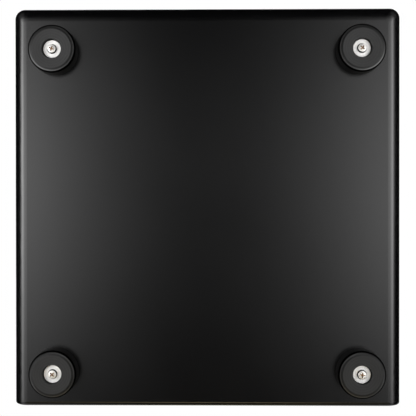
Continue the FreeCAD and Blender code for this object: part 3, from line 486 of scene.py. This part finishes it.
def frame_slab(bm, outer, inner, z0, z1):
    """A closed ring prism between two outlines with the same number of points."""
    rings = []
    for pts in (outer, inner):
        rings.append([[bm.verts.new((x * MM, y * MM, z * MM)) for x, y in pts] for z in (z0, z1)])
    (o0, o1), (i0, i1) = rings
    n = len(outer)
    for k in range(n):
        j = (k + 1) % n
        bm.faces.new((o0[k], o0[j], o1[j], o1[k]))
        bm.faces.new((i0[j], i0[k], i1[k], i1[j]))
        bm.faces.new((o1[k], o1[j], i1[j], i1[k]))
        bm.faces.new((o0[j], o0[k], i0[k], i0[j]))


def text_mesh(name, body_text, size, centre, mat, height=0.06, body="housing", matrix=CON, z=0.0, spacing=1.0):
    """Raised print: text as a thin solid. size and centre in millimetres, in the plane of matrix."""
    cu = bpy.data.curves.new(name, "FONT")
    cu.body = body_text
    cu.size = size * MM
    cu.align_x = "CENTER"
    cu.align_y = "CENTER"
    cu.extrude = height * MM / 2
    cu.resolution_u = 4
    cu.space_character = spacing
    tmp = bpy.data.objects.new(name + "_tmp", cu)
    scene.collection.objects.link(tmp)
    bpy.context.view_layer.update()
    dg = bpy.context.evaluated_depsgraph_get()
    me = bpy.data.meshes.new_from_object(tmp.evaluated_get(dg))
    bpy.data.objects.remove(tmp)
    me.name = name
    me.materials.clear()
    me.materials.append(mat)
    me.transform(Matrix.Translation(Vector((centre[0] * MM, centre[1] * MM, (z + height / 2) * MM))))
    me.transform(matrix)
    o = bpy.data.objects.new(name, me)
    scene.collection.objects.link(o)
    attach(o, body)
    return o


# ---------------------------------------------------------------- key legends
NUM_U = [-110.5, -77.5, -44.5, -11.5]
FUN_U = [46.0, 100.0]
ROW_V = [53.0, 35.5, 18.0]
KEY_TOP = 3.0
NUM = [["key_7", "key_8", "key_9", "key_clear"], ["key_4", "key_5", "key_6", "key_point"], ["key_1", "key_2", "key_3", "key_0"]]
NUM_TEXT = [["7", "8", "9", "C"], ["4", "5", "6", "."], ["1", "2", "3", "0"]]
FUN = [["key_zero", "key_tare"], ["key_unit_weight", "key_sample"], ["key_add", "key_print"]]
FUN_TEXT = [["ZERO", "TARE"], ["UNIT WT", "SAMPLE"], ["ADD", "PRINT"]]
DISH_Z = KEY_TOP - 0.5
for r, v in enumerate(ROW_V):
    for c, u in enumerate(NUM_U):
        k = NUM[r][c]
        ink = INK_WHITE if k == "key_clear" else INK_DARK
        cy = v + (1.6 if NUM_TEXT[r][c] == "." else 0.0)
        text_mesh("legend_" + k, NUM_TEXT[r][c], 8.4, (u, cy), ink, 0.12, k, z=DISH_Z - 0.02)
    for c, u in enumerate(FUN_U):
        k = FUN[r][c]
        text_mesh("legend_" + k, FUN_TEXT[r][c], 5.6, (u, v), INK_WHITE, 0.12, k, z=DISH_Z - 0.02)

# thin printed fields and outlines on the console film
bm = bmesh.new()
for x0, x1 in ((-130.5, 8.0), (15.5, 130.5)):
    frame_slab(bm, round_rect(x0, x1, 8.2, 62.8, 4.0), round_rect(x0 + 0.6, x1 - 0.6, 8.8, 62.2, 3.4), -0.01, 0.05)
mesh_object("console_print_outlines", bm, INK_WHITE, CON)

# ---------------------------------------------------------------- display: bezel print, LCD digits, captions
DIGIT_H, DIGIT_W, STROKE = 15.0, 8.2, 1.7
SEG = {  # a..g with their end points in a unit cell
    "a": ((0, 2), (1, 2)), "b": ((1, 2), (1, 1)), "c": ((1, 1), (1, 0)), "d": ((0, 0), (1, 0)),
    "e": ((0, 0), (0, 1)), "f": ((0, 1), (0, 2)), "g": ((0, 1), (1, 1)),
}
DIGITS = {"0": "abcdef", "1": "bc", "2": "abged", "3": "abgcd", "4": "fgbc", "5": "afgcd", "6": "afgedc", "7": "abc", "8": "abcdefg", "9": "abcdfg", " ": ""}


def segment(bm, x, y, key, z0, z1, slant=0.10):
    (ax, ay), (bx, by) = SEG[key]
    w, h, s = DIGIT_W - STROKE, (DIGIT_H - STROKE) / 2, STROKE / 2
    a = Vector((ax * w, ay * h))
    b = Vector((bx * w, by * h))
    d = (b - a).normalized()
    n = Vector((-d.y, d.x))
    gap = 0.28
    a, b = a + d * gap, b - d * gap
    pts = [a, a + d * s + n * s * 0.92, b - d * s + n * s * 0.92, b, b - d * s - n * s * 0.92, a + d * s - n * s * 0.92]
    out = [(x + p.x + s + slant * (p.y + s), y + p.y + s) for p in pts]
    slab(bm, out, z0, z1)


on, off = bmesh.new(), bmesh.new()
LCDS = [-93.0, 0.0, 93.0]
SHOW = ["0.000", "0.0000", "0"]
Z_LCD = -3.8
for u0, value in zip(LCDS, SHOW):
    cells, dots = [], []
    for ch in value:
        if ch == ".":
            dots.append(len(cells) - 1)
        else:
            cells.append(ch)
    shift = 6 - len(cells)
    for i in range(6):
        x = u0 - 34.5 + i * 11.6
        y = 74.2
        ch = cells[i - shift] if i >= shift else " "
        for key in "abcdefg":
            lit = key in DIGITS[ch]
            segment(on if lit else off, x, y, key, Z_LCD - 0.02, Z_LCD + (0.05 if lit else 0.03))
        for d, lit in ((0, (i - shift) in dots),):
            target = on if lit else off
            slab(target, round_rect(x + DIGIT_W + 0.9, x + DIGIT_W + 2.4, y, y + 1.5, 0.5, 3), Z_LCD - 0.02, Z_LCD + (0.05 if lit else 0.03))
mesh_object("lcd_segments_lit", on, SEGMENT_ON, CON)
mesh_object("lcd_segments_unlit", off, SEGMENT_OFF, CON)
for u0, word in zip(LCDS, ("WEIGHT kg", "UNIT WEIGHT g", "COUNT pcs")):
    text_mesh("lcd_caption_" + word.split()[0].lower(), word, 3.3, (u0, 92.0), SEGMENT_ON, 0.05, "housing", z=Z_LCD - 0.01)

# black mask printed on the underside of the window, with three openings over the displays
bm = bmesh.new()
Z_MASK = -3.25
xs = [-141.5, -133.0, -53.0, -40.0, 40.0, 53.0, 133.0, 141.5]
ys = [65.3, 69.6, 94.0, 97.8]
for i in range(7):
    for j in range(3):
        if j == 1 and i in (1, 3, 5):
            continue
        slab(bm, [(xs[i], ys[j]), (xs[i + 1], ys[j]), (xs[i + 1], ys[j + 1]), (xs[i], ys[j + 1])], Z_MASK, Z_MASK + 0.15)
bmesh.ops.remove_doubles(bm, verts=bm.verts, dist=1e-7)
mesh_object("display_mask", bm, BEZEL, CON)

# ---------------------------------------------------------------- floor, seen only from above
bm = bmesh.new()
bmesh.ops.create_circle(bm, cap_ends=True, radius=6.0, segments=96)
fm = bpy.data.meshes.new("floor")
bm.to_mesh(fm)
bm.free()
floor = bpy.data.objects.new("floor", fm)
scene.collection.objects.link(floor)
m = Mat("floor", (0.80, 0.80, 0.80), 0.6, specular=0.3)
g = m.noise(60, 4, 0.6)
m.roughness(g, 0.55, 0.7)
m.color(g, [(0.3, (0.60, 0.60, 0.60)), (0.7, (0.63, 0.63, 0.63))])
fsep = m.new("ShaderNodeSeparateXYZ")
m.link(m.obj, fsep.inputs["Vector"])
away = m.math("SQRT", m.math("ADD", m.math("MULTIPLY", fsep.outputs["X"], fsep.outputs["X"]), m.math("MULTIPLY", fsep.outputs["Y"], fsep.outputs["Y"])))
m.p.inputs["Emission Color"].default_value = (1, 1, 1, 1)
m.link(m.range(away, 0.22, 0.84, 0.3, 2.6), m.p.inputs["Emission Strength"])
geo = m.new("ShaderNodeNewGeometry")
clear = m.new("ShaderNodeBsdfTransparent")
mix = m.new("ShaderNodeMixShader")
m.link(geo.outputs["Backfacing"], mix.inputs[0])
m.link(m.p.outputs[0], mix.inputs[1])
m.link(clear.outputs[0], mix.inputs[2])
m.link(mix.outputs[0], m.n["Material Output"].inputs["Surface"])
fm.materials.append(m.done())
floor.visible_diffuse = False
floor.visible_glossy = False
floor.visible_transmission = False
floor.visible_shadow = False
floor.location.z = -0.0008


# ---------------------------------------------------------------- light
def area(name, at, aim, size, power, color=(1, 1, 1), size_y=None, spread=math.pi):
    d = bpy.data.lights.new(name, "AREA")
    d.energy = power
    d.color = color
    d.shape = "RECTANGLE"
    d.size = size
    d.size_y = size_y or size
    d.spread = spread
    o = bpy.data.objects.new(name, d)
    o.location = at
    o.rotation_mode = "QUATERNION"
    o.rotation_quaternion = (Vector(aim) - Vector(at)).to_track_quat("-Z", "Y")
    o.visible_camera = False
    scene.collection.objects.link(o)
    return o


# above: a soft box straight overhead and four at the corners. The base, the rear panel and the feet stay out of them.
shaded = bpy.data.collections.new("not_lit_from_above")
for name in ("base_shell", "rear_panel", "foot_front_left", "foot_front_right", "foot_rear_left", "foot_rear_right"):
    shaded.objects.link(NODES[name])
upper = [area("top_box", (0, 0, 1.5), (0, 0, 0.05), 2.0, 14.0)]
for tag, x, y, power in (("fl", -1.1, -1.1, 8.0), ("fr", 1.1, -1.1, 6.0), ("rl", -1.1, 1.1, 5.5), ("rr", 1.1, 1.1, 5.5)):
    upper.append(area("corner_box_" + tag, (x, y, 0.9), (0, 0, 0.06), 1.3, power))
for lamp in upper:
    lamp.light_linking.receiver_collection = shaded
# four boxes at the sides, which leave out the floor as well
aside = bpy.data.collections.new("not_lit_from_the_side_boxes")
for ob in (*shaded.objects, floor):
    aside.objects.link(ob)
for tag, x, y in (("front", 0, -1.5), ("rear", 0, 1.5), ("left", -1.5, 0), ("right", 1.5, 0)):
    area("wall_box_" + tag, (x, y, 0.48), (0, 0, 0.2), 2.0, 3.0, size_y=0.7).light_linking.receiver_collection = aside
for entry in (*shaded.collection_objects, *aside.collection_objects):
    entry.light_linking.link_state = "EXCLUDE"
# low fill for the upright walls of the base and the rear panel only
walls = bpy.data.collections.new("lit_from_the_sides")
for name in ("base_shell", "rear_panel"):
    walls.objects.link(NODES[name])
for tag, x, y, power in (("fl", -0.7, -1.1, 16.0), ("fr", 0.9, -0.9, 10.0), ("rl", -0.9, 0.9, 9.0), ("rr", 0.7, 1.1, 13.0)):
    lamp = area("side_fill_" + tag, (x, y, 0.45), (0, 0, 0.04), 0.9, power)
    lamp.visible_glossy = False
    lamp.light_linking.receiver_collection = walls


# the room: white to the camera; for everything else dark, with a dark front,
# a dim bounce from the floor on the diagonals and a glow low at the rear
class Field:
    """Arithmetic on the x, y, z of a shader tree: the ray direction for the world, the position for a light card."""
    def __init__(self, owner, coordinate):
        owner.use_nodes = True
        self.t = owner.node_tree
        self.t.nodes.clear()
        sep = self.t.nodes.new("ShaderNodeSeparateXYZ")
        tc = self.t.nodes.new("ShaderNodeTexCoord")
        self.t.links.new(tc.outputs[coordinate], sep.inputs["Vector"])
        self.x, self.y, self.z = (sep.outputs[k] for k in "XYZ")

    def math(self, op, a, b=None, clamp=False):
        m = self.t.nodes.new("ShaderNodeMath")
        m.operation, m.use_clamp = op, clamp
        for i, x in enumerate((a, b)):
            if x is None:
                continue
            if isinstance(x, (int, float)):
                m.inputs[i].default_value = x
            else:
                self.t.links.new(x, m.inputs[i])
        return m.outputs[0]

    def add(self, *xs):
        r = xs[0]
        for x in xs[1:]:
            r = self.math("ADD", r, x)
        return r

    def mul(self, *xs):
        r = xs[0]
        for x in xs[1:]:
            r = self.math("MULTIPLY", r, x)
        return r

    def gauss(self, x, centre, sigma):
        d = self.math("DIVIDE", self.math("SUBTRACT", x, centre), sigma)
        return self.math("EXPONENT", self.mul(d, d, -0.5))

    def range(self, x, a, b, lo, hi):
        m = self.t.nodes.new("ShaderNodeMapRange")
        m.interpolation_type = "SMOOTHSTEP"
        for k, v in (("From Min", a), ("From Max", b), ("To Min", lo), ("To Max", hi)):
            m.inputs[k].default_value = v
        self.t.links.new(x, m.inputs["Value"])
        return m.outputs["Result"]

    def table(self, x, stops, top):
        """Piecewise-linear curve through (x, value) stops; x and values are scaled into a colour ramp."""
        r = self.t.nodes.new("ShaderNodeValToRGB")
        e = r.color_ramp.elements
        while len(e) < len(stops):
            e.new(0.5)
        x1 = stops[-1][0]
        for el, (p, v) in zip(e, stops):
            el.position = p / x1
            el.color = (v / top, v / top, v / top, 1)
        self.t.links.new(self.math("DIVIDE", x, x1), r.inputs["Fac"])
        return self.mul(r.outputs["Color"], top)



# one large soft card below, seen only in reflections: dark along the middle, a bright band on the left and on the right
card_mat = bpy.data.materials.new("light_card")
c = Field(card_mat, "Object")
across = c.math("MULTIPLY", c.math("ABSOLUTE", c.math("ADD", c.x, 0.012)), 1000.0)
band = c.table(across, [(0, 0.20), (53, 0.27), (89, 0.42), (143, 0.80), (180, 1.2), (217, 1.8), (262, 2.9), (283, 3.3), (350, 3.4), (427, 3.7),
                        (519, 5.6), (589, 9.0), (637, 11.0), (711, 9.5), (826, 5.8), (1096, 1.4), (1445, 0.3), (1600, 0.0)], 11.0)
sigma = c.math("ADD", c.mul(across, 0.00018), 0.148)
along = c.math("DIVIDE", c.math("ADD", c.y, c.math("ADD", c.mul(across, 0.00007), 0.028)), sigma)
band = c.mul(band, c.math("EXPONENT", c.mul(along, along, -0.5)), c.range(c.x, -0.10, 0.12, 1.0, 0.80))
patch = c.mul(c.gauss(c.x, 0.0, 0.17), c.gauss(c.y, 0.69, 0.075))
tone = c.t.nodes.new("ShaderNodeCombineXYZ")
for k, f in (("X", 5.2), ("Y", 4.2), ("Z", 2.2)):
    c.t.links.new(c.math("ADD", band, c.mul(patch, f)), tone.inputs[k])
glow = c.t.nodes.new("ShaderNodeEmission")
c.t.links.new(tone.outputs[0], glow.inputs["Color"])
cout = c.t.nodes.new("ShaderNodeOutputMaterial")
c.t.links.new(glow.outputs[0], cout.inputs["Surface"])
bm = bmesh.new()
slab(bm, [(-1600, -800), (1600, -800), (1600, 800), (-1600, 800)], -407.5, -406.5)
cme = bpy.data.meshes.new("light_card")
bm.to_mesh(cme)
bm.free()
cme.materials.append(card_mat)
card = bpy.data.objects.new("light_card", cme)
scene.collection.objects.link(card)
card.visible_camera = False
card.visible_shadow = False

world = bpy.data.worlds.new("studio")
scene.world = world
w = Field(world, "Generated")
ax, ay = w.math("ABSOLUTE", w.x), w.math("ABSOLUTE", w.y)
bounce = w.mul(w.range(ax, 0.34, 0.5, 0.0, 1.0), w.range(ay, 0.34, 0.5, 0.0, 1.0), w.gauss(w.z, -0.2, 0.2), 0.3)
back = w.mul(w.range(w.y, 0.75, 0.95, 0.0, 1.0), w.gauss(w.z, 0.0, 0.3), 1.0)
level = w.add(bounce, back)
bright = w.t.nodes.new("ShaderNodeBackground")
bright.inputs["Color"].default_value = (1, 1, 1, 1)
bright.inputs["Strength"].default_value = 1.0
dim = w.t.nodes.new("ShaderNodeBackground")
w.t.links.new(level, dim.inputs["Color"])
lp = w.t.nodes.new("ShaderNodeLightPath")
pick = w.t.nodes.new("ShaderNodeMixShader")
w.t.links.new(lp.outputs["Is Camera Ray"], pick.inputs[0])
w.t.links.new(dim.outputs[0], pick.inputs[1])
w.t.links.new(bright.outputs[0], pick.inputs[2])
wout = w.t.nodes.new("ShaderNodeOutputWorld")
w.t.links.new(pick.outputs[0], wout.inputs["Surface"])

scene.view_settings.view_transform = "Standard"
scene.view_settings.look = "None"
scene.view_settings.exposure = 0.0
scene.view_settings.gamma = 1.0

# ---------------------------------------------------------------- camera: under the base, square on, front edge up
cam_data = bpy.data.cameras.new("camera")
cam = bpy.data.objects.new("camera", cam_data)
scene.collection.objects.link(cam)
scene.camera = cam
cam_data.sensor_width = 36.0
cam_data.lens = 726.3 / 416 * 36.0
cam_data.clip_start = 0.01
cam_data.clip_end = 50
rx, ry, rz = math.radians(0.2957), math.radians(0.6411), math.radians(-0.0350)
R = Matrix.Rotation(rz, 3, "Z") @ Matrix.Rotation(ry, 3, "Y") @ Matrix.Rotation(rx, 3, "X")
turn = (R.transposed() @ Matrix(((1, 0, 0), (0, -1, 0), (0, 0, -1)))).to_4x4()
cam.matrix_world = Matrix.Translation((0.00763, -0.00162, -0.5875)) @ turn
